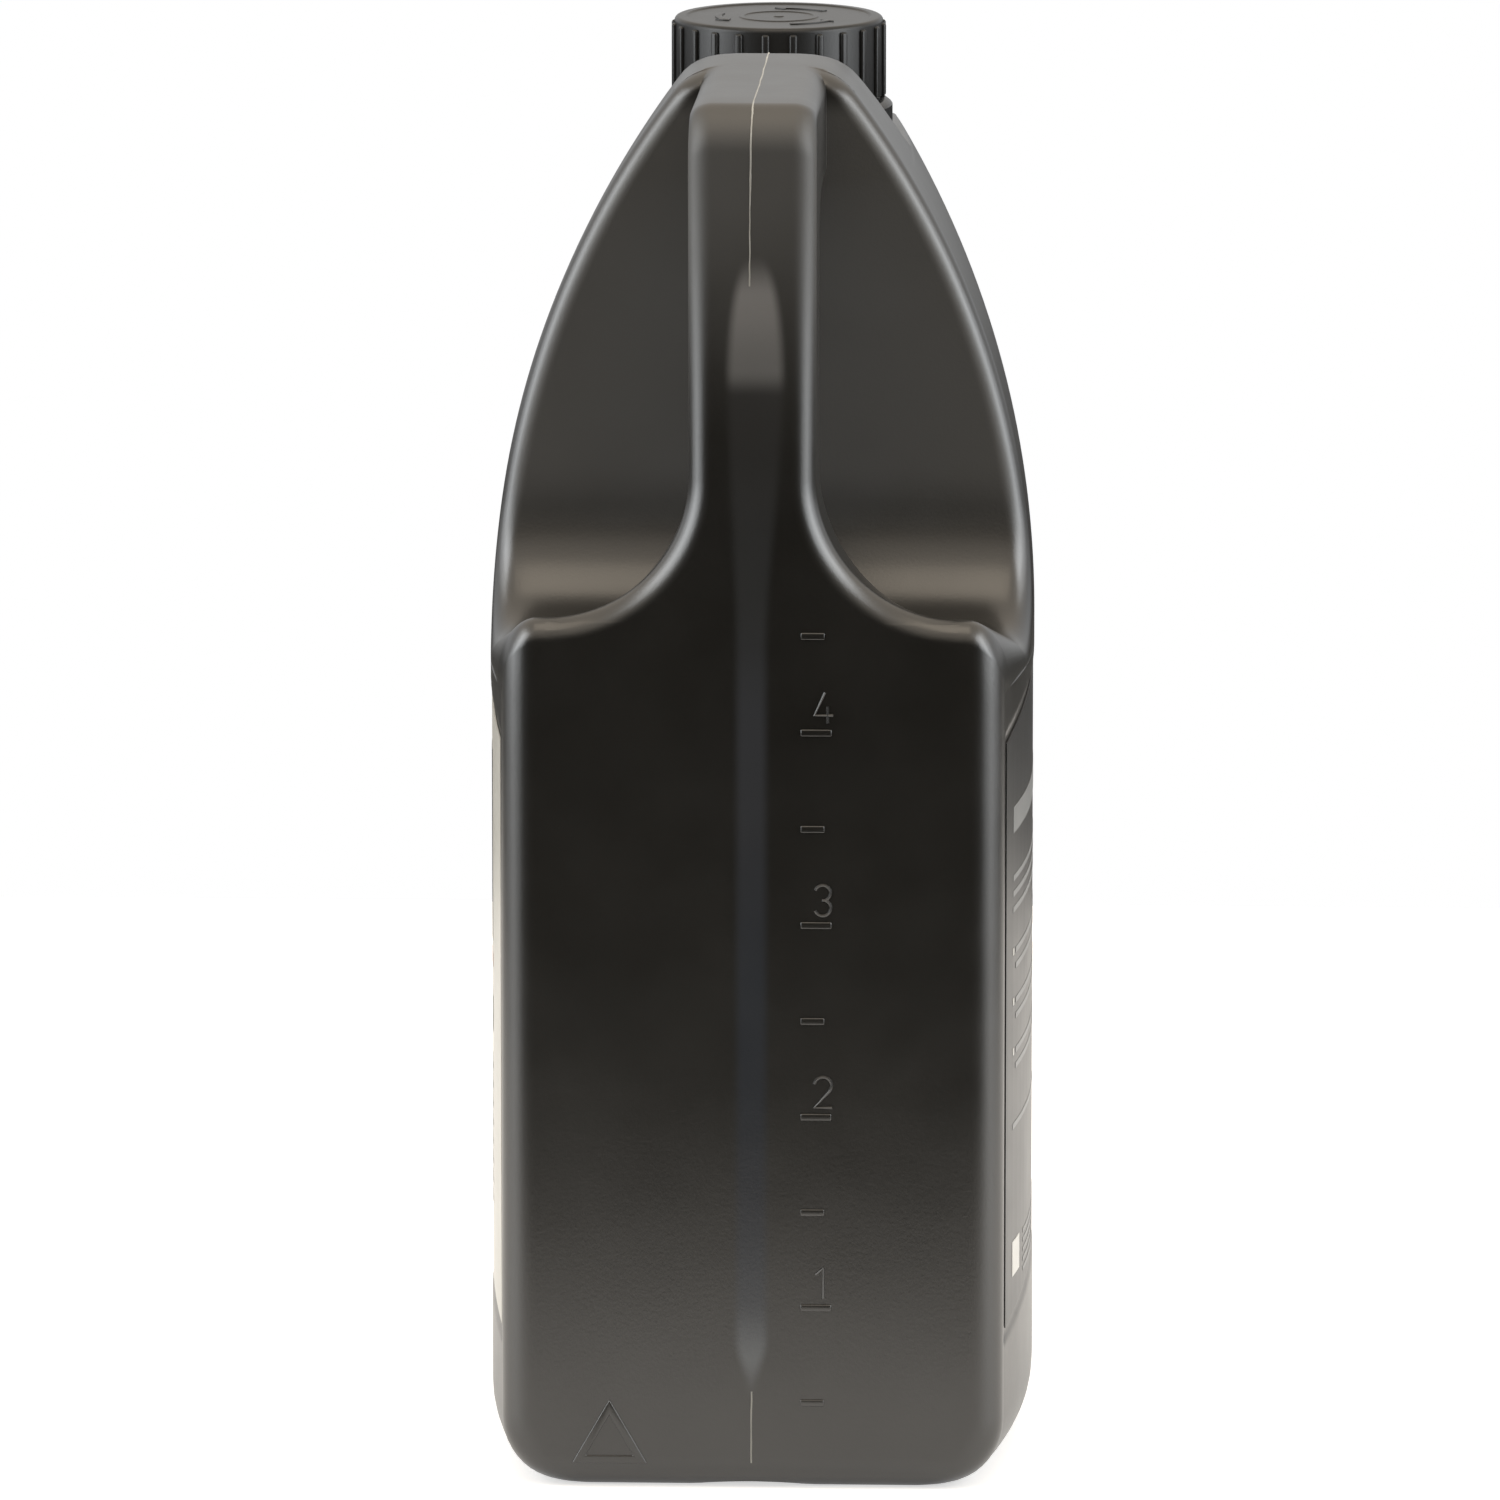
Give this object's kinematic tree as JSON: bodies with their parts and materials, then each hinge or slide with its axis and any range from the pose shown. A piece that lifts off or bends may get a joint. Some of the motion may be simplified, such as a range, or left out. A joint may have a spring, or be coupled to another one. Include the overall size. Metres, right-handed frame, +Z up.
{
  "type": "transmission fluid bottle",
  "caption": "Dark blow-moulded jug with a hollow end handle, arched shoulders, ribbed screw cap with tamper ring, film labels and a litre scale, filled with transmission fluid",
  "frame": {"origin": "middle of the base, on the surface that the jug stands on", "axes": "+Z up, -Y towards the handle end, +X towards the dark label's broad side"},
  "size_m": [0.123, 0.1924, 0.314],
  "materials": {
    "body_plastic": "satin anthracite polyethylene with fine mould grain",
    "cap_plastic": "satin dark grey polypropylene",
    "liner_foam": "closed-cell white foam",
    "pale_film": "glossy pale film",
    "dark_film": "glossy dark film",
    "fluid": "clear red oil"
  },
  "bodies": {
    "bottle": {"bottle_body": "body_plastic", "tamper_ring": "cap_plastic", "front_label": "pale_film", "back_label": "dark_film", "fluid": "fluid"},
    "liner": {"cap_liner": "liner_foam"},
    "cap": {"screw_cap": "cap_plastic"}
  },
  "joints": [
    {"name": "cap_lift", "type": "slide", "parent": "bottle", "child": "liner", "axis": [0, 0, 1], "range_m": [0, 0.0181]},
    {"name": "cap_turn", "type": "hinge", "parent": "liner", "child": "cap", "pos_m": [0, 0.06, 0.3], "axis": [0, 0, 1], "range_deg": [0, 1080]}
  ],
  "couplings": [
    {"joint": "cap_lift", "follows": "cap_turn", "m_per_rad": 0.00095493}
  ]
}
